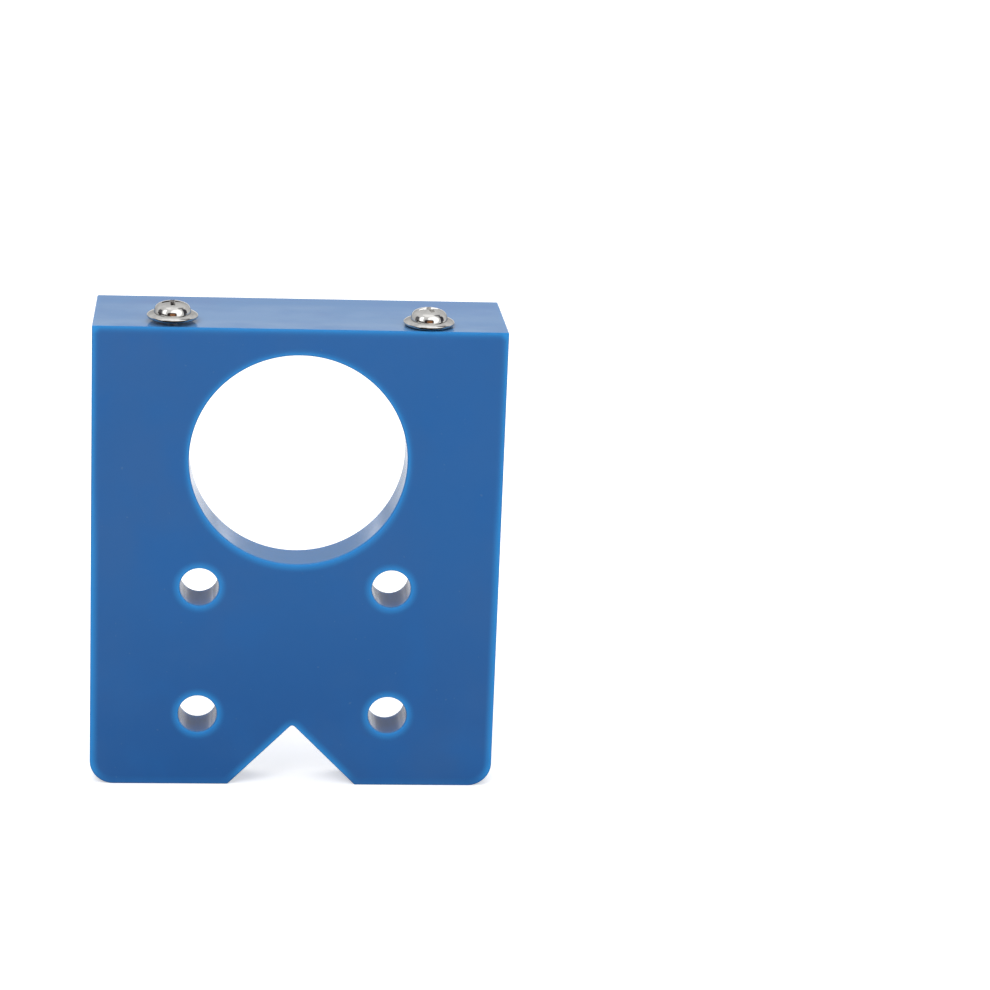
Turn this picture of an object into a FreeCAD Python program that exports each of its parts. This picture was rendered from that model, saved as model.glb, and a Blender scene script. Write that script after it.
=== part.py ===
"""Hinge drilling jig: an L-shaped guide block with two washer-head screws in its top edge.

The block stands on its two feet. X runs along its width, Z is up and the face that the drill enters looks
towards -Y. The origin lies under the middle of the block's width and depth, at the feet. Millimetres.
"""

import FreeCAD, Part
import math
import os

import Sketcher

SIZES = [
    ("block_width", 68.0, "left side to right side"),
    ("block_height", 80.0, "feet to top face"),
    ("block_depth", 20.0, "front face to the back of the ledge"),
    ("plate_thickness", 7.7, "front face to the face that lies on the panel"),
    ("ledge_height", 7.7, "top face to the face that stops on the panel's edge"),
    ("foot_corner_radius", 4.0, "outer bottom corners of the plate"),
    ("cup_hole_diameter", 36.0, "guide hole for a 35 mm cup cutter"),
    ("cup_centre_below_top", 22.5, "half of 35 mm and 5 mm of edge"),
    ("relief_gap", 1.0, "the ledge's relief stands this far outside the cup hole"),
    ("plate_hole_diameter", 6.5, "guide holes for a mounting plate's screws"),
    ("plate_hole_spacing", 32.0, "left column to right column"),
    ("upper_row_below_ledge", 37.0, "a cabinet's front edge to the upper row"),
    ("row_pitch", 22.6, "upper row to lower row"),
    ("notch_width", 21.5, "sighting notch, across its mouth"),
    ("notch_depth", 10.9, "sighting notch, feet to tip"),
    ("notch_tip_radius", 0.6, "round tip of the sighting notch"),
    ("edge_round", 0.25, "round edges of the front face"),
    ("screw_spacing", 42.0, "left screw to right screw"),
    ("screw_diameter", 3.0, "shank, over the thread"),
    ("screw_length", 12.0, "flange's underside to the tip"),
    ("screw_tip_chamfer", 0.4, "lead at the tip"),
    ("screw_hole_gap", 0.05, "between the shank and its hole, all round"),
    ("screw_hole_spare", 2.0, "hole below the tip of a seated screw"),
    ("flange_diameter", 8.3, "washer face of the screw"),
    ("flange_thickness", 1.12, "full round rim"),
    ("dome_diameter", 6.1, "head above the flange"),
    ("dome_wall", 0.9, "flange's upper face to the shoulder, before it is rounded"),
    ("dome_rise", 0.65, "shoulder to crown"),
    ("dome_shoulder_radius", 1.15, "round shoulder of the dome"),
    ("recess_span", 3.5, "cross recess, tip to tip"),
    ("recess_slot", 0.54, "cross recess, width of an arm"),
    ("recess_depth", 1.2, "cross recess, below the top of the dome"),
    ("recess_taper", 6.0, "degrees that the cross recess narrows towards its bottom"),
    ("left_screw_raise", 0.57, "top face to the left flange's underside"),
    ("right_screw_raise", 0.16, "top face to the right flange's underside"),
    ("left_screw_turn", 2.0, "degrees that the left cross recess is turned"),
    ("right_screw_turn", 17.0, "degrees that the right cross recess is turned"),
]
FULL_TURN = 360.0
HORIZONTAL_AXIS = -1
VERTICAL_AXIS = -2
ORIGIN_POINT = (-1, 1)
START, END, CENTRE = range(1, 4)
NEAR = 1e-4


def make_sheet(doc):
    """Writes the driving dimensions into a spreadsheet, one row each with its alias."""
    sheet = doc.addObject("Spreadsheet::Sheet", "Sizes")
    for row, (alias, value, note) in enumerate(SIZES, start=1):
        sheet.set(f"A{row}", alias)
        sheet.set(f"B{row}", str(value))
        sheet.set(f"C{row}", note)
        sheet.setAlias(f"B{row}", alias)
    doc.recompute()
    return sheet


def size(obj, expression):
    """Value of an expression of the sheet's cells, as a plain number."""
    return float(obj.evalExpression(expression))


def make_body(doc, label):
    body = doc.addObject("PartDesign::Body", label)
    body.Label = label
    return body


def make_sketch(body, name, role, offset=None):
    """Adds a sketch on one of the body's own origin planes, moved along its normal by an expression."""
    plane = next(f for f in body.Origin.OriginFeatures if f.Role == role)
    sketch = body.newObject("Sketcher::SketchObject", name)
    sketch.AttachmentSupport = [(plane, "")]
    sketch.MapMode = "FlatFace"
    if offset:
        sketch.setExpression("AttachmentOffset.Base.z", offset)
    return sketch


def pin_coordinate(sketch, kind, axis, point, expression):
    """Ties one coordinate of a sketch point to an expression. A leading minus puts it left of or below 0."""
    if expression == "0":
        sketch.addConstraint(Sketcher.Constraint("PointOnObject", *point, axis))
        return
    if expression.startswith("-"):
        expression = expression[1:]
        ends = (*point, *ORIGIN_POINT)
    else:
        ends = (*ORIGIN_POINT, *point)
    index = sketch.addConstraint(Sketcher.Constraint(kind, *ends, size(sketch, expression)))
    sketch.setExpression(f"Constraints[{index}]", expression)


def pin_point(sketch, point, across, up):
    pin_coordinate(sketch, "DistanceX", VERTICAL_AXIS, point, across)
    pin_coordinate(sketch, "DistanceY", HORIZONTAL_AXIS, point, up)


def sketch_vector(sketch, across, up):
    return FreeCAD.Vector(size(sketch, across), size(sketch, up), 0)


def draw_line(sketch, start, end):
    line = Part.LineSegment(sketch_vector(sketch, *start), sketch_vector(sketch, *end))
    return sketch.addGeometry(line)


def join(sketch, first, second):
    sketch.addConstraint(Sketcher.Constraint("Coincident", first, END, second, START))


def draw_outline(sketch, corners):
    """Draws a closed outline of straight lines whose corners are pairs of expressions."""
    lines = [draw_line(sketch, a, b) for a, b in zip(corners, corners[1:] + corners[:1])]
    for first, second in zip(lines, lines[1:] + lines[:1]):
        join(sketch, first, second)
    for line, (across, up) in zip(lines, corners):
        pin_point(sketch, (line, START), across, up)


def draw_circle(sketch, across, up, diameter):
    centre = sketch_vector(sketch, across, up)
    circle = Part.Circle(centre, FreeCAD.Vector(0, 0, 1), size(sketch, diameter) / 2)
    index = sketch.addGeometry(circle)
    pin_point(sketch, (index, CENTRE), across, up)
    width = sketch.addConstraint(Sketcher.Constraint("Diameter", index, size(sketch, diameter)))
    sketch.setExpression(f"Constraints[{width}]", diameter)


def cut(body, name, sketch, depth=None):
    """Pockets a sketch into the body, right through it where no depth is given, and checks that it cuts."""
    body.Document.recompute()
    before = body.Shape.Volume
    pocket = body.newObject("PartDesign::Pocket", name)
    pocket.Profile = sketch
    if depth:
        pocket.Type = "Length"
        pocket.setExpression("Length", depth)
    else:
        pocket.Type = "ThroughAll"
    body.Document.recompute()
    if body.Shape.Volume > before - NEAR:
        raise RuntimeError(f"{name} removes nothing")
    return pocket


def round_edges(body, name, radius, wanted):
    """Rounds the edges of the body's tip that the test called wanted picks."""
    body.Document.recompute()
    tip = body.Tip
    edges = [f"Edge{i}" for i, edge in enumerate(tip.Shape.Edges, start=1) if wanted(edge)]
    if not edges:
        raise RuntimeError(f"{name} finds no edge")
    fillet = body.newObject("PartDesign::Fillet", name)
    fillet.Base = (tip, edges)
    fillet.setExpression("Radius", radius)
    body.Document.recompute()
    return fillet


def along_y(edge):
    box = edge.BoundBox
    return box.XLength < NEAR and box.ZLength < NEAR


def level_ring(edge, height, radius):
    """Whether the edge is a circle round the Z axis at this height and of this radius."""
    box = edge.BoundBox
    return box.ZLength < NEAR and abs(box.ZMax - height) < NEAR and abs(box.XMax - radius) < NEAR


def make_block(doc):
    """One moulded L: the guide plate in front and the ledge that stops on the panel's edge behind it."""
    body = make_body(doc, "template_block")
    profile = make_sketch(body, "SideProfile", "YZ_Plane")
    under_ledge = "Sizes.block_height - Sizes.ledge_height"
    draw_outline(profile, [
        ("0", "0"),
        ("Sizes.plate_thickness", "0"),
        ("Sizes.plate_thickness", under_ledge),
        ("Sizes.block_depth", under_ledge),
        ("Sizes.block_depth", "Sizes.block_height"),
        ("0", "Sizes.block_height"),
    ])
    pad = body.newObject("PartDesign::Pad", "LProfile")
    pad.Profile = profile
    pad.setExpression("Length", "Sizes.block_width")
    pad.Midplane = True
    cut_guide_holes(body, under_ledge)
    cut_notch(body)
    round_block(body)
    cut_screw_holes(body)
    body.setExpression("Placement.Base.y", "-Sizes.block_depth / 2")
    return body


def cut_guide_holes(body, under_ledge):
    """The cup hole with its relief through the ledge, and the four holes of the mounting plate."""
    cup_height = "Sizes.block_height - Sizes.cup_centre_below_top"
    cup = make_sketch(body, "CupCircle", "XZ_Plane")
    draw_circle(cup, "0", cup_height, "Sizes.cup_hole_diameter")
    cut(body, "CupHole", cup)
    relief = make_sketch(body, "ReliefCircle", "XZ_Plane", "-Sizes.plate_thickness")
    draw_circle(relief, "0", cup_height, "Sizes.cup_hole_diameter + 2 * Sizes.relief_gap")
    cut(body, "LedgeRelief", relief)
    upper_row = f"{under_ledge} - Sizes.upper_row_below_ledge"
    holes = make_sketch(body, "PlateHoleCircles", "XZ_Plane")
    for side in ("-", ""):
        for row in (upper_row, f"{upper_row} - Sizes.row_pitch"):
            draw_circle(holes, f"{side}Sizes.plate_hole_spacing / 2", row, "Sizes.plate_hole_diameter")
    cut(body, "PlateHoles", holes)


def cut_notch(body):
    """The V notch between the feet, sighted on the line of the hinge."""
    notch = make_sketch(body, "NotchTriangle", "XZ_Plane")
    draw_outline(notch, [
        ("-Sizes.notch_width / 2", "0"),
        ("Sizes.notch_width / 2", "0"),
        ("0", "Sizes.notch_depth"),
    ])
    cut(body, "SightingNotch", notch)


def round_block(body):
    """Rounds the notch's tip, the plate's outer bottom corners and the edges of the front face."""
    half_width = size(body, "Sizes.block_width / 2")
    notch_tip = size(body, "Sizes.notch_depth")
    round_edges(body, "NotchTip", "Sizes.notch_tip_radius", lambda edge: (
        along_y(edge) and abs(edge.BoundBox.ZMax - notch_tip) < NEAR and abs(edge.BoundBox.XMax) < NEAR))
    round_edges(body, "FootCorners", "Sizes.foot_corner_radius", lambda edge: (
        along_y(edge) and abs(edge.BoundBox.ZMax) < NEAR
        and abs(abs(edge.BoundBox.XMax) - half_width) < NEAR))
    round_edges(body, "FrontEdges", "Sizes.edge_round", lambda edge: (
        abs(edge.BoundBox.YMax) < NEAR and not edge.isClosed()))


def cut_screw_holes(body):
    """Two blind holes down the middle of the plate's thickness."""
    circles = make_sketch(body, "ScrewHoleCircles", "XY_Plane", "Sizes.block_height")
    for side in ("-", ""):
        draw_circle(circles, f"{side}Sizes.screw_spacing / 2", "Sizes.plate_thickness / 2",
                    "Sizes.screw_diameter + 2 * Sizes.screw_hole_gap")
    cut(body, "ScrewHoles", circles, "Sizes.screw_length + Sizes.screw_hole_spare")


def draw_arc(sketch, centre, radius, start_angle, end_angle):
    circle = Part.Circle(centre, FreeCAD.Vector(0, 0, 1), radius)
    return sketch.addGeometry(Part.ArcOfCircle(circle, start_angle, end_angle))


def draw_rim(sketch, rim):
    """Half circle from the flange's underside to its upper face."""
    radius = size(sketch, "Sizes.flange_thickness / 2")
    centre = FreeCAD.Vector(size(sketch, rim), radius, 0)
    arc = draw_arc(sketch, centre, radius, -math.pi / 2, math.pi / 2)
    pin_coordinate(sketch, "DistanceX", VERTICAL_AXIS, (arc, CENTRE), rim)
    return arc


def draw_dome(sketch, wall_top):
    """Arc from the shoulder to the crown, centred on the screw's axis."""
    half = size(sketch, "Sizes.dome_diameter / 2")
    rise = size(sketch, "Sizes.dome_rise")
    radius = (half ** 2 + rise ** 2) / (2 * rise)
    centre = FreeCAD.Vector(0, size(sketch, wall_top) + rise - radius, 0)
    arc = draw_arc(sketch, centre, radius, math.acos(half / radius), math.pi / 2)
    sketch.addConstraint(Sketcher.Constraint("PointOnObject", arc, CENTRE, VERTICAL_AXIS))
    return arc


def draw_screw_profile(sketch, wall_top, crown_height):
    """Half section of the screw: shank, flange with a full round rim, and dome. Up is the screw's axis."""
    rim = "Sizes.flange_diameter / 2 - Sizes.flange_thickness / 2"
    shank = "Sizes.screw_diameter / 2"
    lower = [
        ("0", "-Sizes.screw_length"),
        (f"{shank} - Sizes.screw_tip_chamfer", "-Sizes.screw_length"),
        (shank, "-(Sizes.screw_length - Sizes.screw_tip_chamfer)"),
        (shank, "0"),
        (rim, "0"),
    ]
    upper = [
        (rim, "Sizes.flange_thickness"),
        ("Sizes.dome_diameter / 2", "Sizes.flange_thickness"),
        ("Sizes.dome_diameter / 2", wall_top),
    ]
    crown = ("0", crown_height)
    chain = [draw_line(sketch, a, b) for a, b in zip(lower, lower[1:])]
    chain.append(draw_rim(sketch, rim))
    chain.extend(draw_line(sketch, a, b) for a, b in zip(upper, upper[1:]))
    chain.append(draw_dome(sketch, wall_top))
    chain.append(draw_line(sketch, crown, lower[0]))
    for first, second in zip(chain, chain[1:] + chain[:1]):
        join(sketch, first, second)
    for element, (across, up) in zip(chain, lower + upper + [crown]):
        pin_point(sketch, (element, START), across, up)


def cross_corners():
    """Corners of the cross recess, anticlockwise, three in each quarter."""
    arm = "Sizes.recess_slot / 2"
    tip = "Sizes.recess_span / 2"
    corners = []
    for left, low in (("", ""), ("-", ""), ("-", "-"), ("", "-")):
        quarter = [(left + tip, low + arm), (left + arm, low + arm), (left + arm, low + tip)]
        corners.extend(quarter if left == low else reversed(quarter))
    return corners


def make_screw(doc, side, sign):
    """A washer-head screw that stands in its hole with its flange a little above the top face."""
    body = make_body(doc, f"adjusting_screw_{side}")
    wall_top = "Sizes.flange_thickness + Sizes.dome_wall"
    crown_height = f"{wall_top} + Sizes.dome_rise"
    profile = make_sketch(body, f"ScrewProfile_{side}", "XZ_Plane")
    draw_screw_profile(profile, wall_top, crown_height)
    turned = body.newObject("PartDesign::Revolution", f"TurnedScrew_{side}")
    turned.Profile = profile
    turned.ReferenceAxis = (profile, ["V_Axis"])
    turned.Angle = FULL_TURN
    shoulder = size(body, wall_top)
    dome_radius = size(body, "Sizes.dome_diameter / 2")
    round_edges(body, f"DomeShoulder_{side}", "Sizes.dome_shoulder_radius",
                lambda edge: level_ring(edge, shoulder, dome_radius))
    cross = make_sketch(body, f"CrossOutline_{side}", "XY_Plane", crown_height)
    draw_outline(cross, cross_corners())
    recess = cut(body, f"CrossRecess_{side}", cross, "Sizes.recess_depth")
    recess.setExpression("TaperAngle", "Sizes.recess_taper")
    body.setExpression("Placement.Base.x", f"{sign}Sizes.screw_spacing / 2")
    body.setExpression("Placement.Base.y", "Sizes.plate_thickness / 2 - Sizes.block_depth / 2")
    body.setExpression("Placement.Base.z", f"Sizes.block_height + Sizes.{side}_screw_raise")
    body.Placement.Rotation = FreeCAD.Rotation(FreeCAD.Vector(0, 0, 1), 1)
    body.setExpression("Placement.Rotation.Angle", f"Sizes.{side}_screw_turn")
    return body


def check(doc, bodies):
    """Stops if any object has failed, any sketch is loose or any body has no sound single solid."""
    for obj in doc.Objects:
        if "Invalid" in obj.State or "Error" in obj.State:
            raise RuntimeError(f"{obj.Label} is {obj.State}")
        if obj.TypeId == "Sketcher::SketchObject" and not obj.FullyConstrained:
            raise RuntimeError(f"{obj.Label} isn't fully constrained")
    for body in bodies:
        shape = body.Shape
        if shape.isNull() or not shape.isValid() or len(shape.Solids) != 1:
            raise RuntimeError(f"{body.Label} has no sound solid")


def export(bodies):
    os.makedirs("parts", exist_ok=True)
    for body in bodies:
        body.Shape.exportStep(f"parts/{body.Label}.step")
        box = body.Shape.BoundBox
        print(f"{body.Label}: {box.XLength:.2f} x {box.YLength:.2f} x {box.ZLength:.2f} mm, "
              f"{body.Shape.Volume:.1f} mm3")


def main():
    doc = FreeCAD.newDocument("HingeDrillingJig")
    make_sheet(doc)
    bodies = [make_block(doc)]
    bodies.extend(make_screw(doc, side, sign) for side, sign in (("left", "-"), ("right", "")))
    doc.recompute()
    check(doc, bodies)
    export(bodies)


main()
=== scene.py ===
"""Looks of a hinge drilling jig: a moulded blue guide block with two washer-head screws in its top edge.

The frame gives the solids, in metres. Pieces are made in millimetres and brought to metres when they are
finished, so that each stands where its solid stands. Materials, lamps and camera are in metres.
"""

import logging
import math
from collections.abc import Iterable
from dataclasses import dataclass, field
from enum import Enum

import bmesh
import bpy
from mathutils import Matrix, Vector


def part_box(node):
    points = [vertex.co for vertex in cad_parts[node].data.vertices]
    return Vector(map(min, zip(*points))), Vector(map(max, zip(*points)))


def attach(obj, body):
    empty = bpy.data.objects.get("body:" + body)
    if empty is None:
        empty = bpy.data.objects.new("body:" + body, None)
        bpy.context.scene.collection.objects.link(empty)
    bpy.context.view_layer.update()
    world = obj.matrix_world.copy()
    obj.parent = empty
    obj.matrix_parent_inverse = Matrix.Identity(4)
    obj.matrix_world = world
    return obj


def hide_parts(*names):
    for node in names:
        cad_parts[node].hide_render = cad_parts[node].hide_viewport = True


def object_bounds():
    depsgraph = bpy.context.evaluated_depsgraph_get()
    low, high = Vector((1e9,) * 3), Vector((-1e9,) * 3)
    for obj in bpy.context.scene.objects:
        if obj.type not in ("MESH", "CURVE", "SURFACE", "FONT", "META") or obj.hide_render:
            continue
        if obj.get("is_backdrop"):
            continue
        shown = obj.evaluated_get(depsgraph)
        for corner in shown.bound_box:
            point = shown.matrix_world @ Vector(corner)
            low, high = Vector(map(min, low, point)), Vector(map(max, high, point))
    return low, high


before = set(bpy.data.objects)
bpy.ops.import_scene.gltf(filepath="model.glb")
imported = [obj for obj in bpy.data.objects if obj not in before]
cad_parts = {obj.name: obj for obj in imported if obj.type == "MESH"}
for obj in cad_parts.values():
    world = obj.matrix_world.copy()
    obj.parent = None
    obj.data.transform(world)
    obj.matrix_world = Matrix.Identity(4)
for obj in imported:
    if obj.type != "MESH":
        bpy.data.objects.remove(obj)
SOLID_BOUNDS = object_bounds()
LOG = logging.getLogger("hinge_jig")
MM = 0.001
PLASTIC_IOR = 1.46
OPENNESS_SAMPLES = 12
FLAT_SEAM_DEGREES = 0.2
FLAT_FACE_WEIGHT = 100
MIXED_COLOURS = (6, 7)
MIX_RESULT = 2
SCREW_TURN_DEGREES = {"left": 2.0, "right": 17.0}

Colour = tuple[float, float, float]
Triple = tuple[float, float, float]
Point = tuple[float, float]


class Axis(Enum):
    """Direction in which an outline is drawn out into a prism."""

    X = 0
    Y = 1
    Z = 2

    def place(self, across: float, up: float, along: float) -> Vector:
        """Puts a point of the outline at a distance along the axis.

        Args:
            across: First coordinate in the outline's own plane.
            up: Second coordinate in the outline's own plane.
            along: Coordinate along this axis.

        Returns:
            The point in the frame.
        """
        if self is Axis.X:
            return Vector((along, across, up))
        if self is Axis.Y:
            return Vector((across, along, up))
        return Vector((across, up, along))


def arc(centre: Point, radius: float, start: float, end: float, steps: int) -> list[Point]:
    """Gives points along an arc, both ends included.

    Args:
        centre: Centre of the arc.
        radius: Radius of the arc.
        start: First angle in degrees, anticlockwise from the first coordinate.
        end: Last angle in degrees.
        steps: Number of chords.

    Returns:
        The points in order.
    """
    angles = (math.radians(start + (end - start) * i / steps) for i in range(steps + 1))
    return [(centre[0] + radius * math.cos(a), centre[1] + radius * math.sin(a)) for a in angles]


def circle(centre: Point, radius: float, steps: int) -> list[Point]:
    """Gives the points of a full circle.

    Args:
        centre: Centre of the circle.
        radius: Radius of the circle.
        steps: Number of chords.

    Returns:
        The points in order, the first one not repeated.
    """
    return arc(centre, radius, 0, 360, steps)[:-1]


def solid_box(node: str) -> tuple[Vector, Vector]:
    """Gives a solid's lowest and highest corner in millimetres.

    Args:
        node: Name of the solid.

    Returns:
        The two corners.
    """
    low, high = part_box(node)
    return Vector(low) / MM, Vector(high) / MM


def to_object(name: str, shape: bmesh.types.BMesh) -> bpy.types.Object:
    """Turns an edited shape into an object of the scene.

    Args:
        name: Name of the object and its mesh.
        shape: The shape, which is freed.

    Returns:
        The new object.
    """
    bmesh.ops.recalc_face_normals(shape, faces=shape.faces)
    mesh = bpy.data.meshes.new(name)
    shape.to_mesh(mesh)
    shape.free()
    made = bpy.data.objects.new(name, mesh)
    bpy.context.scene.collection.objects.link(made)
    return made


def prism(name: str, outline: list[Point], axis: Axis, low: float, high: float) -> bpy.types.Object:
    """Draws a flat outline out into a closed prism.

    Args:
        name: Name of the object.
        outline: Corners of the outline in order.
        axis: Direction in which it is drawn out.
        low: Where the prism starts along the axis.
        high: Where it ends.

    Returns:
        The prism.
    """
    shape = bmesh.new()
    first = [shape.verts.new(axis.place(a, b, low)) for a, b in outline]
    last = [shape.verts.new(axis.place(a, b, high)) for a, b in outline]
    shape.faces.new(first)
    shape.faces.new(last)
    for i in range(len(outline)):
        j = (i + 1) % len(outline)
        shape.faces.new((first[i], first[j], last[j], last[i]))
    return to_object(name, shape)


def to_metres(piece: bpy.types.Object) -> None:
    """Brings a piece from millimetres to the frame's metres.

    Args:
        piece: The object whose mesh is scaled.
    """
    piece.data.transform(Matrix.Scale(MM, 4))


def settle(piece: bpy.types.Object) -> None:
    """Makes the piece's modifiers part of its mesh.

    Args:
        piece: The object to change.
    """
    bpy.context.view_layer.update()
    graph = bpy.context.evaluated_depsgraph_get()
    mesh = bpy.data.meshes.new_from_object(piece.evaluated_get(graph))
    piece.modifiers.clear()
    before = piece.data
    piece.data = mesh
    bpy.data.meshes.remove(before)
    mesh.name = piece.name


def carve(piece: bpy.types.Object, cutters: Iterable[bpy.types.Object]) -> None:
    """Takes cutters out of a piece, one after the other, and deletes them.

    Args:
        piece: The object that is cut.
        cutters: Closed shapes to take away.
    """
    for cutter in cutters:
        step = piece.modifiers.new("carve", "BOOLEAN")
        step.operation = "DIFFERENCE"
        step.solver = "EXACT"
        step.object = cutter
        settle(piece)
        bpy.data.objects.remove(cutter)


def clean_cuts(piece: bpy.types.Object, reach: float) -> None:
    """Joins corners that all but coincide and takes away the flat seams that cuts leave.

    Args:
        piece: The object to change.
        reach: Largest distance between corners that are joined, in the mesh's own units.
    """
    shape = bmesh.new()
    shape.from_mesh(piece.data)
    bmesh.ops.remove_doubles(shape, verts=shape.verts, dist=reach)
    flat = math.radians(FLAT_SEAM_DEGREES)
    bmesh.ops.dissolve_limit(shape, angle_limit=flat, verts=shape.verts, edges=shape.edges)
    shape.to_mesh(piece.data)
    shape.free()


def soften(piece: bpy.types.Object, width: float, segments: int, sharpest: float) -> None:
    """Rounds the sharp edges of a piece and shades its flats flat.

    Args:
        piece: The object to change.
        width: Width of the rounding, in the mesh's own units.
        segments: Strips in each rounding.
        sharpest: Edges that turn by more than this angle in degrees are rounded.
    """
    rounding = piece.modifiers.new("rounding", "BEVEL")
    rounding.width = width
    rounding.segments = segments
    rounding.limit_method = "ANGLE"
    rounding.angle_limit = math.radians(sharpest)
    rounding.use_clamp_overlap = False
    settle(piece)
    piece.data.shade_smooth()
    weights = piece.modifiers.new("weights", "WEIGHTED_NORMAL")
    weights.mode = "FACE_AREA"
    weights.weight = FLAT_FACE_WEIGHT
    settle(piece)


@dataclass(frozen=True)
class Ramp:
    """A smooth change of level over a range, with the same level on past each end."""

    low: float
    high: float
    to_low: float = 0.0
    to_high: float = 1.0


@dataclass(frozen=True)
class Noise:
    """Noise laid out in the frame's own directions, with its cells per metre and its octaves."""

    scale: float
    detail: float
    stretch: Triple = (1.0, 1.0, 1.0)


class Graph:
    """A material's nodes, put together by short calls."""

    def __init__(self, tree: bpy.types.NodeTree) -> None:
        """Starts on an emptied tree.

        Args:
            tree: Node tree of a material or world.
        """
        tree.nodes.clear()
        self.tree = tree

    def add(self, kind: str, inputs: dict[str | int, object] | None = None,
            **settings: object) -> bpy.types.Node:
        """Adds a node.

        Args:
            kind: Type of the node, without its ShaderNode prefix.
            inputs: Sockets by name or number, each with a value or another node's output.
            settings: Properties of the node.

        Returns:
            The new node.
        """
        node = self.tree.nodes.new(f"ShaderNode{kind}")
        for key, value in settings.items():
            setattr(node, key, value)
        for key, value in (inputs or {}).items():
            if isinstance(value, bpy.types.NodeSocket):
                self.tree.links.new(value, node.inputs[key])
            else:
                node.inputs[key].default_value = value
        return node

    def math(self, operation: str, first: object, second: object = 0.0,
             held: bool = True) -> bpy.types.NodeSocket:
        """Adds an operation on one or two numbers.

        Args:
            operation: Blender's name of the operation.
            first: First number or output.
            second: Second number or output.
            held: Whether the result is held between 0 and 1.

        Returns:
            The result.
        """
        node = self.add("Math", {0: first, 1: second}, operation=operation, use_clamp=held)
        return node.outputs[0]

    def parts(self, vector: bpy.types.NodeSocket) -> bpy.types.NodeOutputs:
        """Takes a vector apart.

        Args:
            vector: The vector's output.

        Returns:
            Its parts, by the names X, Y and Z.
        """
        return self.add("SeparateXYZ", {0: vector}).outputs

    def spread(self, value: bpy.types.NodeSocket, ramp: Ramp) -> bpy.types.NodeSocket:
        """Maps a number by a ramp.

        Args:
            value: The number's output.
            ramp: Range that it comes from and levels that it goes to.

        Returns:
            The mapped number.
        """
        ends = {"Value": value, "From Min": ramp.low, "From Max": ramp.high,
                "To Min": ramp.to_low, "To Max": ramp.to_high}
        return self.add("MapRange", ends, interpolation_type="SMOOTHSTEP").outputs["Result"]

    def blend(self, share: object, first: object, second: object) -> bpy.types.NodeSocket:
        """Mixes two colours.

        Args:
            share: How much of the second colour, from 0 to 1.
            first: First colour or output.
            second: Second colour or output.

        Returns:
            The mixed colour.
        """
        node = self.add("Mix", {0: share}, data_type="RGBA")
        for socket, colour in zip(MIXED_COLOURS, (first, second)):
            if isinstance(colour, bpy.types.NodeSocket):
                self.tree.links.new(colour, node.inputs[socket])
            else:
                node.inputs[socket].default_value = (*colour, 1.0)
        return node.outputs[MIX_RESULT]

    def grain(self, noise: Noise) -> bpy.types.NodeSocket:
        """Adds noise.

        Args:
            noise: Its scale, detail and stretch.

        Returns:
            The noise, about 0.5 on average.
        """
        place = self.add("TexCoord").outputs["Object"]
        laid = self.add("Mapping", {"Vector": place, "Scale": noise.stretch}).outputs[0]
        inputs = {"Vector": laid, "Scale": noise.scale, "Detail": noise.detail}
        return self.add("TexNoise", inputs).outputs[0]

    def bump(self, height: bpy.types.NodeSocket, depth: float,
             below: bpy.types.NodeSocket | None = None) -> bpy.types.NodeSocket:
        """Adds relief too fine for the mesh.

        Args:
            height: The relief's output.
            depth: Its depth.
            below: Coarser relief that it lies on.

        Returns:
            The normal.
        """
        inputs = {"Height": height, "Distance": depth}
        if below is not None:
            inputs["Normal"] = below
        return self.add("Bump", inputs).outputs[0]

    def openness(self, reach: float, inside: bool = False) -> bpy.types.NodeSocket:
        """Gives how open a point of the surface is to what surrounds it.

        Args:
            reach: Distance at which the piece's own surface no longer counts.
            inside: Whether it's seen from inside the material.

        Returns:
            The openness, from 0 to 1.
        """
        node = self.add("AmbientOcclusion", {"Distance": reach}, inside=inside, only_local=True,
                        samples=OPENNESS_SAMPLES)
        return node.outputs["AO"]

    def edge_light(self, reach: float, gain: float) -> bpy.types.NodeSocket:
        """Gives how near a point of the surface is to an outer edge.

        Args:
            reach: Distance at which an edge no longer counts.
            gain: Scale of the result, which is 1 at a square edge for a gain of 2.

        Returns:
            The share, from 0 to 1.
        """
        closed = self.math("SUBTRACT", 1.0, self.openness(reach, inside=True))
        return self.math("MULTIPLY", closed, gain)

    def finish(self, surface: bpy.types.NodeSocket, kind: str = "OutputMaterial") -> None:
        """Joins a shader to the output.

        Args:
            surface: The shader's output.
            kind: Type of the output node.
        """
        self.add(kind, {"Surface": surface})


def new_material(name: str) -> tuple[bpy.types.Material, Graph]:
    """Makes an empty material with nodes.

    Args:
        name: Name of the material.

    Returns:
        The material and its graph.
    """
    made = bpy.data.materials.new(name)
    made.use_nodes = True
    return made, Graph(made.node_tree)


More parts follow.
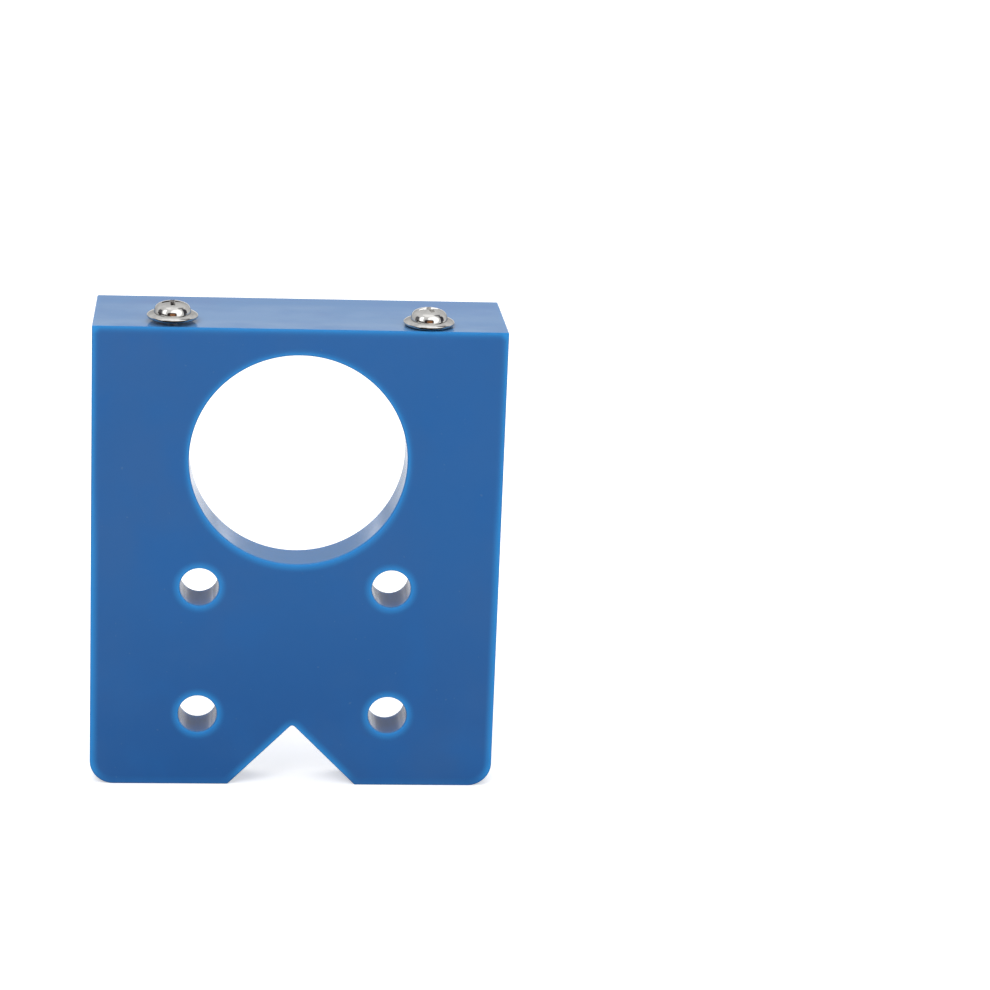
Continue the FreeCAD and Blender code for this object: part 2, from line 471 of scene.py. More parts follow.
@dataclass(frozen=True)
class MouldedPlastic:
    """Glossy blue plastic, a little translucent: light that enters beside an edge leaves it as azure. That
    azure glow, a lighter top face and a pale band along the top's front edge are light painted into the
    colour.
    """

    upper: Colour = (0.0175, 0.1170, 0.3500)
    lower: Colour = (0.0150, 0.1030, 0.3210)
    fade: Ramp = Ramp(9.0 * MM, 44.0 * MM)
    # painted light: the top face gets a lighter, greener colour than the front faces
    top: Colour = (0.0180, 0.1430, 0.3620)
    top_lean: Ramp = Ramp(0.90, 0.99)
    marks: tuple[tuple[Noise, Ramp, Colour], ...] = (
        (Noise(55.0, 4.0), Ramp(0.42, 0.72, 0.0, 0.75), (0.0255, 0.1150, 0.3270)),
        (Noise(85.0, 4.0, (1.0, 1.0, 0.8)), Ramp(0.46, 0.74, 0.0, 0.75), (0.0130, 0.1150, 0.3600)),
        (Noise(1300.0, 1.0), Ramp(0.735, 0.78, 0.0, 0.35), (0.0900, 0.1800, 0.3400)),
    )
    # painted light: a pale band over the plate along the top face's front edge, paler towards the front
    band: Colour = (0.0640, 0.1870, 0.3940)
    band_front: Colour = (0.0900, 0.2100, 0.4050)
    band_blend: Ramp = Ramp(-7.0 * MM, -4.5 * MM, 1.0, 0.0)
    band_rise: Ramp = Ramp(-10.2 * MM, -9.8 * MM)
    band_fall: Ramp = Ramp(3.0 * MM, 6.8 * MM, 1.0, 0.0)
    band_noise: Noise = Noise(75.0, 3.0, (1.0, 1.6, 1.0))
    band_clouds: Ramp = Ramp(0.34, 0.62, 0.35, 1.0)
    glow: Colour = (0.0200, 0.2580, 0.6500)
    glow_reach: float = 1.5 * MM
    glow_gain: float = 2.3
    glow_narrows: Ramp = Ramp(40.0 * MM, 56.0 * MM)
    foot_glow: Ramp = Ramp(0.4 * MM, 3.0 * MM, 0.2, 1.0)
    top_glow: Ramp = Ramp(0.0, 1.0, 1.0, 0.15)
    roughness: Ramp = Ramp(0.0, 1.0, 0.29, 0.07)
    haze: Noise = Noise(70.0, 2.0)
    haze_levels: Ramp = Ramp(0.30, 0.70, 0.0, 0.05)
    waves: Noise = Noise(90.0, 1.0)
    wave_depth: float = 0.012 * MM
    pores: Noise = Noise(2600.0, 2.0)
    pore_depth: float = 0.0012 * MM

    def make(self) -> bpy.types.Material:
        """Builds the material.

        Returns:
            The finished material.
        """
        material, graph = new_material("moulded_blue_plastic")
        place = graph.parts(graph.add("TexCoord").outputs["Object"])
        facing = graph.parts(graph.add("NewGeometry").outputs["Normal"])
        faces_up = graph.spread(facing["Z"], self.top_lean)
        colour = graph.blend(graph.spread(place["Z"], self.fade), self.lower, self.upper)
        # painted light: the top face is lighter than the front
        colour = graph.blend(faces_up, colour, self.top)
        for noise, levels, tint in self.marks:
            colour = graph.blend(graph.spread(graph.grain(noise), levels), colour, tint)
        # painted light: the pale band along the top face's front edge
        band = graph.blend(graph.spread(place["Y"], self.band_blend), self.band, self.band_front)
        colour = graph.blend(self.lit_band_share(graph, place["Y"], faces_up), colour, band)
        colour = graph.blend(self.glow_share(graph, place["Z"], faces_up), colour, self.glow)
        haze = graph.spread(graph.grain(self.haze), self.haze_levels)
        rough = graph.math("ADD", graph.spread(faces_up, self.roughness), haze)
        relief = graph.bump(graph.grain(self.waves), self.wave_depth)
        relief = graph.bump(graph.grain(self.pores), self.pore_depth, relief)
        inputs = {"Base Color": colour, "Roughness": rough, "Normal": relief, "IOR": PLASTIC_IOR}
        graph.finish(graph.add("BsdfPrincipled", inputs).outputs[0])
        return material

    def lit_band_share(self, graph: Graph, depth: bpy.types.NodeSocket,
                   faces_up: bpy.types.NodeSocket) -> bpy.types.NodeSocket:
        """Gives the painted light band along the top face's front edge, over the plate.

        Args:
            graph: The material's graph.
            depth: The Y coordinate.
            faces_up: 1 on the top face.

        Returns:
            The band's share, from 0 to 1.
        """
        rise = graph.spread(depth, self.band_rise)
        fall = graph.spread(depth, self.band_fall)
        fall = graph.math("MULTIPLY", fall, graph.spread(graph.grain(self.band_noise), self.band_clouds))
        return graph.math("MULTIPLY", graph.math("MULTIPLY", rise, fall), faces_up)

    def glow_share(self, graph: Graph, height: bpy.types.NodeSocket,
                   faces_up: bpy.types.NodeSocket) -> bpy.types.NodeSocket:
        """Gives the azure line along the edges, narrower above and dimmer at the feet and on top.

        Args:
            graph: The material's graph.
            height: The Z coordinate.
            faces_up: 1 on the top face.

        Returns:
            The line's share, from 0 to 1.
        """
        share = graph.edge_light(self.glow_reach, self.glow_gain)
        unlit = graph.math("SUBTRACT", 1.0, share)
        narrowing = graph.math("MULTIPLY", unlit, graph.spread(height, self.glow_narrows))
        share = graph.math("MULTIPLY", share, graph.math("SUBTRACT", 1.0, narrowing))
        share = graph.math("MULTIPLY", share, graph.spread(height, self.foot_glow))
        return graph.math("MULTIPLY", share, graph.spread(faces_up, self.top_glow))


@dataclass(frozen=True)
class BoredWall:
    """The same plastic where a cutter has passed: duller, with fine rings. Its two copies have light and
    shade painted in: lighter in the wide hole, darker in the narrow ones.
    """

    name: str
    colour: Colour
    dull: Colour
    roughness: Ramp
    mirroring: float = 0.5
    glow: Colour = (0.0350, 0.2100, 0.5300)
    glow_reach: float = 1.2 * MM
    glow_gain: float = 1.3
    rings: Noise = Noise(2400.0, 3.0, (0.02, 1.0, 0.02))
    ring_depth: float = 0.003 * MM
    patches: Noise = Noise(220.0, 3.0, (1.0, 0.5, 1.0))
    wear: Ramp = Ramp(0.35, 0.65)
    wear_share: float = 0.5

    def make(self) -> bpy.types.Material:
        """Builds the material.

        Returns:
            The finished material.
        """
        material, graph = new_material(self.name)
        rings = graph.grain(self.rings)
        patches = graph.spread(graph.grain(self.patches), self.wear)
        worn = graph.math("MULTIPLY", graph.spread(rings, self.wear), self.wear_share)
        worn = graph.math("ADD", worn, graph.math("MULTIPLY", patches, self.wear_share))
        colour = graph.blend(worn, self.colour, self.dull)
        colour = graph.blend(graph.edge_light(self.glow_reach, self.glow_gain), colour, self.glow)
        rough = graph.spread(patches, self.roughness)
        relief = graph.bump(rings, self.ring_depth)
        inputs = {"Base Color": colour, "Roughness": rough, "Normal": relief, "IOR": PLASTIC_IOR,
                  "Specular IOR Level": self.mirroring}
        graph.finish(graph.add("BsdfPrincipled", inputs).outputs[0])
        return material


# painted light: the wide hole's wall is lighter and greener than the moulded faces
LIT_WIDE_WALL = BoredWall(
    name="lit_wide_wall",
    colour=(0.0220, 0.1680, 0.4250),
    dull=(0.0300, 0.1640, 0.3900),
    roughness=Ramp(0.0, 1.0, 0.13, 0.21),
)
# painted shade: the narrow holes' walls are much darker than the moulded faces, and mirror less
SHADED_NARROW_WALL = BoredWall(
    name="shaded_narrow_wall",
    colour=(0.0010, 0.0720, 0.2520),
    dull=(0.0020, 0.0680, 0.2320),
    roughness=Ramp(0.0, 1.0, 0.18, 0.26),
    mirroring=0.34,
)


@dataclass(frozen=True)
class BrightPlate:
    """Bright chrome plate on steel, with slight handling marks and painted shade in its recesses."""

    colour: Colour = (0.66, 0.65, 0.63)
    dull: Colour = (0.54, 0.53, 0.52)
    patches: Noise = Noise(900.0, 3.0)
    patch_levels: Ramp = Ramp(0.40, 0.72)
    grazing: Colour = (0.60, 0.60, 0.60)
    # painted shade: dark where the screw's own surface closes round, as in the recess, the dome's foot and
    # the thread's roots
    painted_shade: Colour = (0.05, 0.045, 0.04)
    painted_shade_reach: float = 0.6 * MM
    painted_shade_levels: Ramp = Ramp(0.34, 0.66, 1.0, 0.0)
    roughness: Ramp = Ramp(0.0, 1.0, 0.03, 0.12)
    ripple: Noise = Noise(1100.0, 1.0)
    ripple_depth: float = 0.006 * MM

    def make(self) -> bpy.types.Material:
        """Builds the material.

        Returns:
            The finished material.
        """
        material, graph = new_material("bright_chrome_plate")
        patches = graph.spread(graph.grain(self.patches), self.patch_levels)
        colour = graph.blend(patches, self.colour, self.dull)
        # painted shade: darkens closed places such as the recess
        shade_share = graph.spread(graph.openness(self.painted_shade_reach), self.painted_shade_levels)
        colour = graph.blend(shade_share, colour, self.painted_shade)
        rough = graph.spread(patches, self.roughness)
        relief = graph.bump(graph.grain(self.ripple), self.ripple_depth)
        inputs = {"Base Color": colour, "Roughness": rough, "Normal": relief, "Metallic": 1.0,
                  "Specular Tint": (*self.grazing, 1.0)}
        graph.finish(graph.add("BsdfPrincipled", inputs).outputs[0])
        return material


@dataclass
class TemplateBlock:
    """The L-shaped guide block, moulded in one piece and bored.

    A face belongs to a bored wall if it lies within the wall's reach of a hole's radius and its normal leans
    little towards Y. Cutters go past the block by the spare.
    """

    node: str = "template_block"
    body: str = "block"
    slot: str = "blue_plastic"
    plate: float = 7.7
    ledge: float = 7.7
    foot_radius: float = 4.0
    cup_radius: float = 18.0
    cup_below_top: float = 22.5
    relief_gap: float = 1.0
    small_radius: float = 3.25
    small_spacing: float = 32.0
    rows_below_ledge: tuple[float, float] = (37.0, 59.6)
    notch_half_width: float = 10.75
    notch_depth: float = 10.9
    notch_tip: float = 0.6
    screw_spacing: float = 42.0
    screw_hole_radius: float = 1.55
    screw_hole_depth: float = 14.0
    edge: float = 0.22
    edge_segments: int = 3
    edge_angle: float = 35.0
    draft: float = 0.35
    weld_reach: float = 0.003
    wall_reach: float = 0.05
    wall_lean: float = 0.3
    wide_steps: int = 192
    small_steps: int = 72
    screw_hole_steps: int = 40
    corner_steps: int = 16
    notch_tip_steps: int = 8
    spare: float = 1.0
    low: Vector = field(init=False)
    high: Vector = field(init=False)

    def __post_init__(self) -> None:
        """Reads the block's corners from the frame."""
        self.low, self.high = solid_box(self.node)

    def build(self, plastic: bpy.types.Material, walls: list[bpy.types.Material]) -> bpy.types.Object:
        """Builds the block in place of its solid.

        Args:
            plastic: Finish of the moulded faces.
            walls: Finishes of the wide hole's wall, with painted light, and of the narrow holes' walls, with
                painted shade.

        Returns:
            The finished piece.
        """
        block = prism("guide_block", self.side_profile(), Axis.X, self.low.x, self.high.x)
        self.draw_in(block)
        carve(block, self.cutters())
        clean_cuts(block, self.weld_reach)
        soften(block, self.edge, self.edge_segments, self.edge_angle)
        block.data.materials.clear()
        for finish in (plastic, *walls):
            block.data.materials.append(finish)
        self.mark_bored_walls(block.data)
        to_metres(block)
        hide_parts(self.node)
        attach(block, self.body)
        return block

    def draw_in(self, shape: bpy.types.Object) -> None:
        """Leans the outer sides in towards the back, by which the block left its mould.

        Args:
            shape: The block, or a cutter of one of its outer corners.
        """
        depth = self.high.y - self.low.y
        for vertex in shape.data.vertices:
            lean = self.draft * (vertex.co.y - self.low.y) / depth
            vertex.co.x -= lean * math.copysign(1.0, vertex.co.x)

    def side_profile(self) -> list[Point]:
        """Gives the L in the plane of depth and height.

        Returns:
            Its six corners.
        """
        back_of_plate = self.low.y + self.plate
        under_ledge = self.high.z - self.ledge
        return [
            (self.low.y, self.low.z),
            (back_of_plate, self.low.z),
            (back_of_plate, under_ledge),
            (self.high.y, under_ledge),
            (self.high.y, self.high.z),
            (self.low.y, self.high.z),
        ]

    def round_holes(self) -> list[tuple[Point, float, float]]:
        """Lists the guide holes.

        Returns:
            Each hole's centre in the plane of width and height, its radius, and where its cutter starts.
        """
        front = self.low.y - self.spare
        cup = (0.0, self.high.z - self.cup_below_top)
        holes = [(cup, self.cup_radius, front)]
        holes.append((cup, self.cup_radius + self.relief_gap, self.low.y + self.plate))
        for below in self.rows_below_ledge:
            for side in (-1, 1):
                height = self.high.z - self.ledge - below
                holes.append(((side * self.small_spacing / 2, height), self.small_radius, front))
        return holes

    def cutters(self) -> Iterable[bpy.types.Object]:
        """Makes the cutters one at a time.

        Yields:
            A closed shape to take out of the block.
        """
        end = self.high.y + self.spare
        for centre, radius, start in self.round_holes():
            steps = self.wide_steps if radius > self.small_radius else self.small_steps
            yield prism("hole", circle(centre, radius, steps), Axis.Y, start, end)
        front = self.low.y - self.spare
        yield prism("notch", self.notch_outline(), Axis.Y, front, end)
        for side in (-1, 1):
            corner = prism("corner", self.corner_outline(side), Axis.Y, front, end)
            self.draw_in(corner)
            yield corner
            centre = (side * self.screw_spacing / 2, self.low.y + self.plate / 2)
            outline = circle(centre, self.screw_hole_radius, self.screw_hole_steps)
            floor = self.high.z - self.screw_hole_depth
            yield prism("screw_hole", outline, Axis.Z, floor, self.high.z + self.spare)

    def notch_outline(self) -> list[Point]:
        """Gives the V notch with its round tip, drawn on past the feet.

        Returns:
            The outline in the plane of width and height.
        """
        slope = self.notch_depth / self.notch_half_width
        lean = math.degrees(math.atan(slope))
        centre_height = self.notch_depth - self.notch_tip / math.cos(math.radians(lean))
        centre = (0.0, centre_height)
        tip = arc(centre, self.notch_tip, 90.0 - lean, 90.0 + lean, self.notch_tip_steps)
        mouth = self.notch_half_width + self.spare / slope
        return [(-mouth, -self.spare), (mouth, -self.spare), *tip]

    def corner_outline(self, side: int) -> list[Point]:
        """Gives what is cut off an outer bottom corner.

        Args:
            side: -1 for the left corner and 1 for the right.

        Returns:
            The outline in the plane of width and height.
        """
        edge = self.high.x
        radius = self.foot_radius
        rounding = arc((edge - radius, radius), radius, 0.0, -90.0, self.corner_steps)
        outer = [(edge - radius, -self.spare), (edge + self.spare, -self.spare), (edge + self.spare, radius)]
        return [(side * x, z) for x, z in rounding + outer]

    def mark_bored_walls(self, mesh: bpy.types.Mesh) -> None:
        """Gives the walls of the round guide holes their own finish: painted light in the wide hole, painted
        shade in the narrow ones.

        Args:
            mesh: The block's mesh, with the wide wall's finish second and the narrow walls' third.
        """
        for face in mesh.polygons:
            if abs(face.normal.y) > self.wall_lean:
                continue
            for (x, z), radius, _ in self.round_holes():
                away = math.hypot(face.center.x - x, face.center.z - z)
                if abs(away - radius) < self.wall_reach:
                    face.material_index = 1 if radius > self.small_radius else 2


@dataclass
class WasherHeadScrew:
    """A washer-head screw with a cross recess and a rolled thread, in place of its solid.

    The dome's legs are arcs, each with its radius and the angle of the surface's normal at its end, in
    degrees over the horizontal. The cap goes on from the last one to the crown.
    """

    side: str
    turn: float
    slot: str = "plated_steel"
    shank_radius: float = 1.49
    length: float = 12.0
    pitch: float = 0.5
    thread_depth: float = 0.29
    ridge_slope: float = 2.35
    ridge_gain: float = 1.15
    tip_chamfer: float = 0.4
    plain_neck: float = 0.35
    underside_share: float = 0.6
    flange_radius: float = 4.20
    flange: float = 1.00
    lip: float = 0.50
    lip_steps: int = 8
    rim_fullness: float = 1.6
    rim_steps: int = 18
    dome_radius: float = 3.05
    dome_lean: float = 7.0
    dome_legs: tuple[Point, ...] = ((3.3, 18.5), (1.10, 66.0))
    leg_steps: int = 12
    cap_steps: int = 16
    cap_end: float = 89.6
    recess_half_span: float = 1.85
    recess_half_slot: float = 0.46
    recess_depth: float = 1.1
    recess_taper: float = 16.0
    recess_spare: float = 0.5
    crease: float = 38.0
    around: int = 96
    rows_per_turn: int = 10
    low: Vector = field(init=False)
    high: Vector = field(init=False)

    def __post_init__(self) -> None:
        """Reads the screw's corners from the frame."""
        self.low, self.high = solid_box(self.node)

    @property
    def node(self) -> str:
        """Name of the solid that the screw stands for."""
        return f"adjusting_screw_{self.side}"

    def build(self, metal: bpy.types.Material) -> bpy.types.Object:
        """Builds the screw in place of its solid.

        Args:
            metal: Finish of the plated steel.

        Returns:
            The finished piece.
        """
        screw = self.turned_body()
        carve(screw, [self.recess_cutter()])
        screw.data.materials.clear()
        screw.data.materials.append(metal)
        screw.data.shade_smooth()
        screw.data.set_sharp_from_angle(angle=math.radians(self.crease))
        middle = (self.low + self.high) / 2
        seat = self.low.z + self.length
        spin = Matrix.Rotation(math.radians(self.turn), 4, "Z")
        screw.data.transform(Matrix.Translation((middle.x, middle.y, seat)) @ spin)
        to_metres(screw)
        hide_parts(self.node)
        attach(screw, f"{self.side}_screw")
        return screw

    def thread_radius(self, height: float, angle: float) -> float:
        """Gives the thread's radius at a point of the shank.

        Args:
            height: Height over the flange's underside, below 0 on the shank.
            angle: Angle round the axis, in radians.

        Returns:
            The radius there.
        """
        phase = (height / self.pitch - angle / math.tau) % 1.0
        ridge = max(0.0, 1.0 - abs(phase - 0.5) * self.ridge_slope)
        ridge = min(1.0, ridge * self.ridge_gain)
        runout = min(1.0, max(0.0, (-height - self.plain_neck) / self.pitch))
        radius = self.shank_radius - self.thread_depth * (1.0 - ridge) * runout
        above_tip = height + self.length
        return min(radius, self.shank_radius - self.tip_chamfer + above_tip)

    def head_profile(self) -> list[Point]:
        """Gives the head's half section from the shank to the crown.

        Returns:
            Pairs of radius and height.
        """
        lip = arc((self.flange_radius - self.lip, self.lip), self.lip, -90.0, 0.0, self.lip_steps)
        ledge = self.flange_radius - self.dome_radius
        power = 2.0 / self.rim_fullness
        quarter = arc((0.0, 0.0), 1.0, 0.0, 90.0, self.rim_steps)
        quarter = [(max(0.0, c) ** power, s ** power) for c, s in quarter]
        rise = self.flange - self.lip
        rim = [(self.dome_radius + ledge * c, self.lip + rise * s) for c, s in quarter]
        dome = [(self.dome_radius, self.flange)]
        lean = self.dome_lean
        for radius, end in self.dome_legs:
            dome += self.leg(dome[-1], radius, lean, end, self.leg_steps)
            lean = end
        cap = dome[-1][0] / math.cos(math.radians(lean))
        dome += self.leg(dome[-1], cap, lean, self.cap_end, self.cap_steps)
        underside = [(self.shank_radius, 0.0), (self.flange_radius * self.underside_share, 0.0)]
        return [*underside, *lip, *rim[1:], *dome[1:]]

    @staticmethod
    def leg(start: Point, radius: float, lean: float, end: float, steps: int) -> list[Point]:
        """Carries a profile on by an arc.

        Args:
            start: Last point so far.
            radius: Radius of the arc.
            lean: Angle of the surface's normal at the start, in degrees over the horizontal.
            end: The same at the arc's end.
            steps: Number of chords.

        Returns:
            The points after the first one.
        """
        turn = math.radians(lean)
        centre = (start[0] - radius * math.cos(turn), start[1] - radius * math.sin(turn))
        return arc(centre, radius, lean, end, steps)[1:]

    def crown(self) -> float:
        """Gives the height of the dome's top over the flange's underside."""
        return self.head_profile()[-1][1]

    def turned_body(self) -> bpy.types.Object:
        """Makes the shank with its thread and the head as one closed surface.

        Returns:
            The screw without its recess, its axis on the origin.
        """
        count = round(self.length / self.pitch * self.rows_per_turn)
        heights = [-self.length + self.length * i / count for i in range(count)]
        angles = [math.tau * i / self.around for i in range(self.around)]
        sections = [[(self.thread_radius(z, a), z) for a in angles] for z in heights]
        sections += [[point] * self.around for point in self.head_profile()]
        shape = bmesh.new()
        rings = []
        for section in sections:
            rings.append([shape.verts.new((r * math.cos(a), r * math.sin(a), z))
                          for (r, z), a in zip(section, angles)])
        for below, above in zip(rings, rings[1:]):
            for i in range(self.around):
                j = (i + 1) % self.around
                shape.faces.new((below[i], below[j], above[j], above[i]))
        for ring, height in ((rings[0], -self.length), (rings[-1], self.crown())):
            pole = shape.verts.new((0.0, 0.0, height))
            for i in range(self.around):
                shape.faces.new((ring[i], ring[(i + 1) % self.around], pole))
        return to_object(f"washer_head_screw_{self.side}", shape)

    def recess_cutter(self) -> bpy.types.Object:
        """Makes the cross that is pressed into the crown, narrower at its bottom.

        Returns:
            The closed cutter.
        """
        shape = bmesh.new()
        taper = math.tan(math.radians(self.recess_taper))
        floor = (self.crown() - self.recess_depth, -self.recess_depth * taper)
        above = (self.crown() + self.recess_spare, self.recess_spare * taper)
        rings = []
        for height, grow in (floor, above):
            tip = self.recess_half_span + grow
            arm = self.recess_half_slot + grow
            quarter = [(tip, -arm), (tip, arm), (arm, arm)]
            corners = []
            for turn in range(4):
                c, s = round(math.cos(turn * math.pi / 2)), round(math.sin(turn * math.pi / 2))
                corners += [(x * c - y * s, x * s + y * c) for x, y in quarter]
            rings.append([shape.verts.new((x, y, height)) for x, y in corners])
        shape.faces.new(rings[0])
        shape.faces.new(rings[1])
        for i in range(len(rings[0])):
            j = (i + 1) % len(rings[0])
            shape.faces.new((rings[0][i], rings[0][j], rings[1][j], rings[1][i]))
        return to_object("recess", shape)


@dataclass(frozen=True)
class RoomPatch:
    """A soft box or a shaded corner of the room, as the screws' heads mirror it.

    Its turn is in degrees from the front, towards +X, and its rise is the sine of the angle over the floor.
    """

    turn: float
    half_turn: float
    rise: float
    half_rise: float
    colour: Colour


@dataclass(frozen=True)
class Lamp:
    """A square soft lamp, in metres and watts."""

    name: str
    place: Triple
    width: float
    power: float


@dataclass
class Studio:
    """Pale floor, soft light, the room that is mirrored, and the camera."""

    focal_pixels: float = 3506.99
    picture_pixels: float = 990.0
    sensor: float = 36.0
    clip: Point = (0.01, 20.0)
    yaw: float = 0.09229
    pitch: float = 0.30820
    roll: float = 0.04174
    eye: Triple = (-18.440 * MM, -562.841 * MM, 228.855 * MM)
    lamps: tuple[Lamp, ...] = (
        Lamp("key", (-0.35, -0.55, 0.75), 0.55, 4.6),
        Lamp("fill", (0.60, -0.40, 0.45), 0.50, 1.7),
        Lamp("top", (0.05, 0.20, 0.80), 0.60, 3.2),
    )
    lamp_aim: Triple = (0.0, 0.0, 0.04)
    floor_half: float = 3000.0
    floor_depth: float = 10.0
    floor_colour: Colour = (0.80, 0.80, 0.80)
    floor_lift: Ramp = Ramp(0.2, 1.2, 0.46, 0.72)
    floor_mirrored: Ramp = Ramp(-0.02, 0.06, 0.02, 1.30)
    floor_across: Ramp = Ramp(-0.05, 0.05, 0.82, 1.12)
    floor_aside: Ramp = Ramp(0.08, 0.20, 1.0, 0.60)
    floor_far: Ramp = Ramp(-0.70, -0.40, 1.30, 0.0)
    world_level: float = 0.45
    wall_low: Colour = (0.80, 0.80, 0.80)
    wall_high: Colour = (0.86, 0.86, 0.86)
    wall_blend: Ramp = Ramp(0.10, 0.60)
    skirting: Colour = (1.70, 1.70, 1.70)
    skirting_rise: Ramp = Ramp(0.02, 0.16, 1.0, 0.0)
    skirting_behind: Ramp = Ramp(0.80, 0.93)
    patch_squareness: float = 3.0
    patch_edge: Ramp = Ramp(0.7, 1.3, 1.0, 0.0)
    room: tuple[RoomPatch, ...] = (
        RoomPatch(10.0, 70.0, 1.00, 0.17, (1.30, 1.30, 1.30)),
        RoomPatch(0.0, 400.0, 1.00, 0.09, (1.25, 1.25, 1.25)),
        RoomPatch(-54.0, 13.0, 0.42, 0.34, (1.80, 1.80, 1.80)),
        RoomPatch(26.0, 37.0, 0.42, 0.46, (1.80, 1.80, 1.80)),
        RoomPatch(-86.0, 15.0, 0.15, 0.40, (0.16, 0.16, 0.17)),
        RoomPatch(88.0, 14.0, 0.22, 0.52, (0.06, 0.06, 0.07)),
        RoomPatch(108.0, 22.0, 0.84, 0.12, (0.25, 0.25, 0.26)),
        RoomPatch(-66.0, 34.0, 0.00, 0.09, (0.05, 0.04, 0.04)),
        RoomPatch(-3.0, 30.0, 0.11, 0.21, (0.04, 0.03, 0.03)),
        RoomPatch(2.0, 17.0, 0.11, 0.14, (0.34, 0.15, 0.07)),
    )

    def build(self) -> None:
        """Adds the camera, the floor, the lamps and the world."""
        self.add_camera()
        self.add_floor()
        for lamp in self.lamps:
            self.add_lamp(lamp)
        self.add_world()
        bpy.context.scene.view_settings.view_transform = "Standard"

    def add_camera(self) -> None:
        """Places the camera by its eye point and its three angles."""
        sine, cosine = math.sin(self.pitch), math.cos(self.pitch)
        forward = Vector((math.sin(self.yaw) * cosine, math.cos(self.yaw) * cosine, -sine))
        level = Vector((math.cos(self.yaw), -math.sin(self.yaw), 0.0))
        upright = level.cross(forward)
        across = math.cos(self.roll) * level + math.sin(self.roll) * upright
        up = math.cos(self.roll) * upright - math.sin(self.roll) * level
        lens = bpy.data.cameras.new("camera")
        lens.sensor_width = self.sensor
        lens.lens = self.focal_pixels / self.picture_pixels * self.sensor
        lens.clip_start, lens.clip_end = self.clip
        camera = bpy.data.objects.new("camera", lens)
        turned = Matrix((across, up, -forward)).transposed()
        camera.matrix_world = Matrix.Translation(self.eye) @ turned.to_4x4()
        bpy.context.scene.collection.objects.link(camera)
        bpy.context.scene.camera = camera

    def add_floor(self) -> None:
        """Lays a pale floor that keeps the shadow and is white where nothing shades it."""
        half = self.floor_half
        outline = [(-half, -half), (half, -half), (half, half), (-half, half)]
        floor = prism("floor", outline, Axis.Z, -self.floor_depth, 0.0)
        to_metres(floor)
        material, graph = new_material("pale_floor")
        path = graph.add("LightPath").outputs
        place = graph.add("TexCoord").outputs["Object"]
        away = graph.add("VectorMath", {0: place}, operation="LENGTH").outputs["Value"]
        strength = graph.math("MULTIPLY", path["Is Camera Ray"], graph.spread(away, self.floor_lift))
        lift = graph.add("Emission", {"Strength": strength}).outputs[0]
        dull = graph.add("BsdfDiffuse", {"Color": (*self.floor_colour, 1.0)}).outputs[0]
        lit = graph.add("AddShader", {0: dull, 1: lift}).outputs[0]
        mirrored = graph.add("Emission", {"Strength": self.floor_level(graph, place)}).outputs[0]
        graph.finish(graph.add("MixShader", {0: path["Is Glossy Ray"], 1: lit, 2: mirrored}).outputs[0])
        floor.data.materials.append(material)
        floor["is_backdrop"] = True

    def floor_level(self, graph: Graph, place: bpy.types.NodeSocket) -> bpy.types.NodeSocket:
        """Gives how bright the floor is where gloss and metal mirror it.

        Args:
            graph: The floor's graph.
            place: The point on the floor.

        Returns:
            The strength of its light.
        """
        spot = graph.parts(place)
        level = graph.spread(spot["Y"], self.floor_mirrored)
        level = graph.math("MULTIPLY", level, graph.spread(spot["X"], self.floor_across), held=False)
        aside = graph.math("ABSOLUTE", spot["X"], held=False)
        level = graph.math("MULTIPLY", level, graph.spread(aside, self.floor_aside), held=False)
        return graph.math("ADD", level, graph.spread(spot["Y"], self.floor_far), held=False)

    def add_lamp(self, lamp: Lamp) -> None:
        """Adds a lamp that faces the middle of the block.

        Args:
            lamp: Its name, place, width and power.
        """
        light = bpy.data.lights.new(lamp.name, "AREA")
        light.size = lamp.width
        light.energy = lamp.power
        made = bpy.data.objects.new(lamp.name, light)
        made.visible_glossy = False
        made.location = lamp.place
        towards = Vector(self.lamp_aim) - Vector(lamp.place)
        made.rotation_euler = towards.to_track_quat("-Z", "Y").to_euler()
        bpy.context.scene.collection.objects.link(made)

    def add_world(self) -> None:
        """Makes the surroundings: white to the eye, even light, and what gloss and metal mirror."""
        world = bpy.data.worlds.new("surroundings")
        world.use_nodes = True
        graph = Graph(world.node_tree)
        path = graph.add("LightPath").outputs
        colour = graph.blend(path["Is Glossy Ray"], (self.world_level,) * 3, self.mirrored_room(graph))
        colour = graph.blend(path["Is Camera Ray"], colour, (1.0, 1.0, 1.0))
        graph.finish(graph.add("Background", {"Color": colour}).outputs[0], "OutputWorld")
        bpy.context.scene.world = world

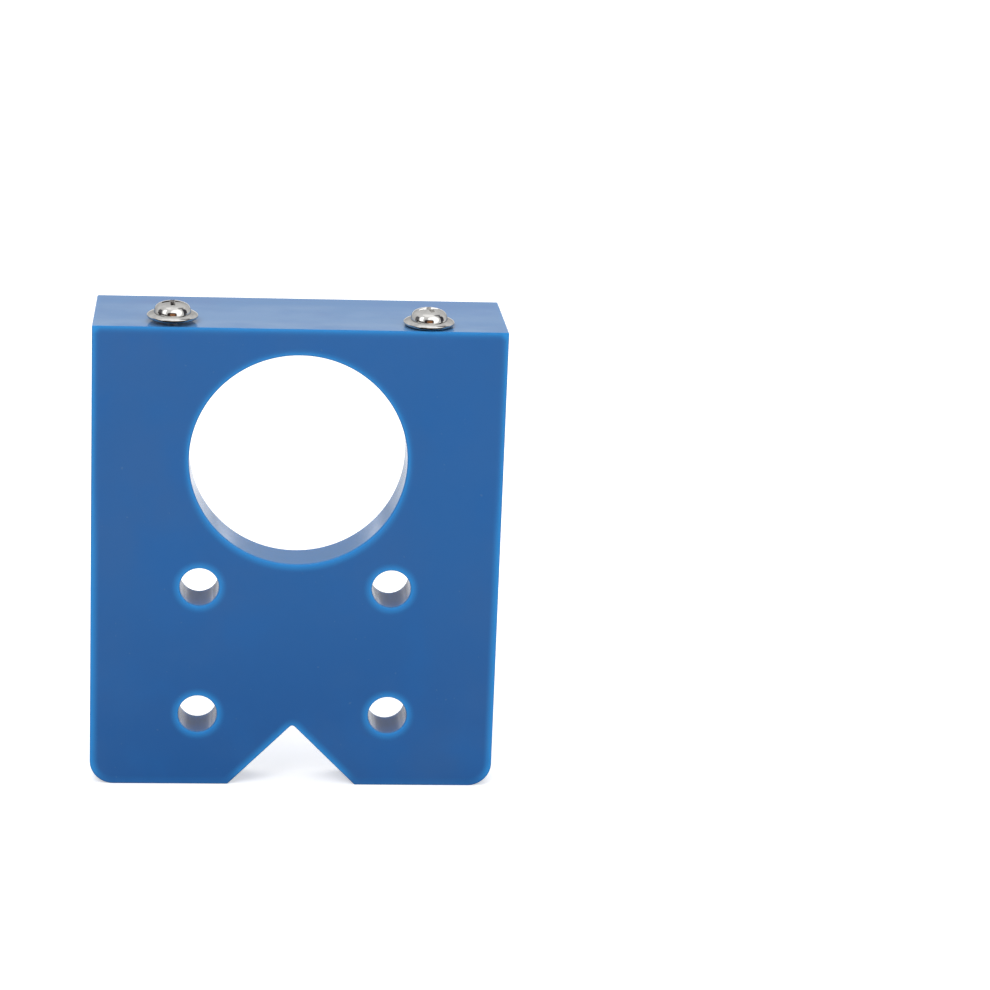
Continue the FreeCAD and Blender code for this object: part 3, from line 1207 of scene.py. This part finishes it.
    def mirrored_room(self, graph: Graph) -> bpy.types.NodeSocket:
        """Lays out the walls, the soft boxes and the shaded corners that gloss and metal mirror.

        Args:
            graph: The world's graph.

        Returns:
            The colour in each direction.
        """
        way = graph.parts(graph.add("TexCoord").outputs["Generated"])
        towards_front = graph.math("MULTIPLY", way["Y"], -1.0, held=False)
        turn = graph.math("ARCTAN2", way["X"], towards_front, held=False)
        colour = graph.blend(graph.spread(way["Z"], self.wall_blend), self.wall_low, self.wall_high)
        low_down = graph.spread(way["Z"], self.skirting_rise)
        behind = graph.math("MULTIPLY", low_down, graph.spread(way["Y"], self.skirting_behind))
        colour = graph.blend(behind, colour, self.skirting)
        for patch in self.room:
            aside = self.past(graph, turn, math.radians(patch.turn), math.radians(patch.half_turn))
            above = self.past(graph, way["Z"], patch.rise, patch.half_rise)
            away = graph.math("ADD", aside, above, held=False)
            colour = graph.blend(graph.spread(away, self.patch_edge), colour, patch.colour)
        return colour

    def past(self, graph: Graph, value: bpy.types.NodeSocket, middle: float,
             half: float) -> bpy.types.NodeSocket:
        """Gives how far a direction lies from a patch's middle.

        Args:
            graph: The world's graph.
            value: The direction's turn or rise.
            middle: The patch's own turn or rise.
            half: Half of the patch's width or height.

        Returns:
            The distance, 1 at the patch's edge, raised to the power that squares its corners.
        """
        away = graph.math("SUBTRACT", value, middle, held=False)
        away = graph.math("DIVIDE", away, half, held=False)
        away = graph.math("ABSOLUTE", away, held=False)
        return graph.math("POWER", away, self.patch_squareness, held=False)


def corners(bounds: tuple[Vector, Vector]) -> list[list[float]]:
    """Turns a box into plain lists.

    Args:
        bounds: Lowest and highest corner.

    Returns:
        The same corners as lists of numbers.
    """
    return [[float(c) for c in corner] for corner in bounds]


def main() -> None:
    """Builds the pieces round the frame, one after the other."""
    logging.basicConfig(level=logging.INFO, format="%(name)s: %(message)s")
    plastic = MouldedPlastic().make()
    walls = [LIT_WIDE_WALL.make(), SHADED_NARROW_WALL.make()]
    metal = BrightPlate().make()
    pieces = [TemplateBlock().build(plastic, walls)]
    for side, turn in SCREW_TURN_DEGREES.items():
        pieces.append(WasherHeadScrew(side, turn).build(metal))
    for piece in pieces:
        LOG.info("%s has %d faces", piece.name, len(piece.data.polygons))
    Studio().build()
    LOG.info("studio is ready")
    bpy.context.view_layer.update()
    {"solids": corners(SOLID_BOUNDS), "shown": corners(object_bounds())}


if __name__ == "__main__":
    main()
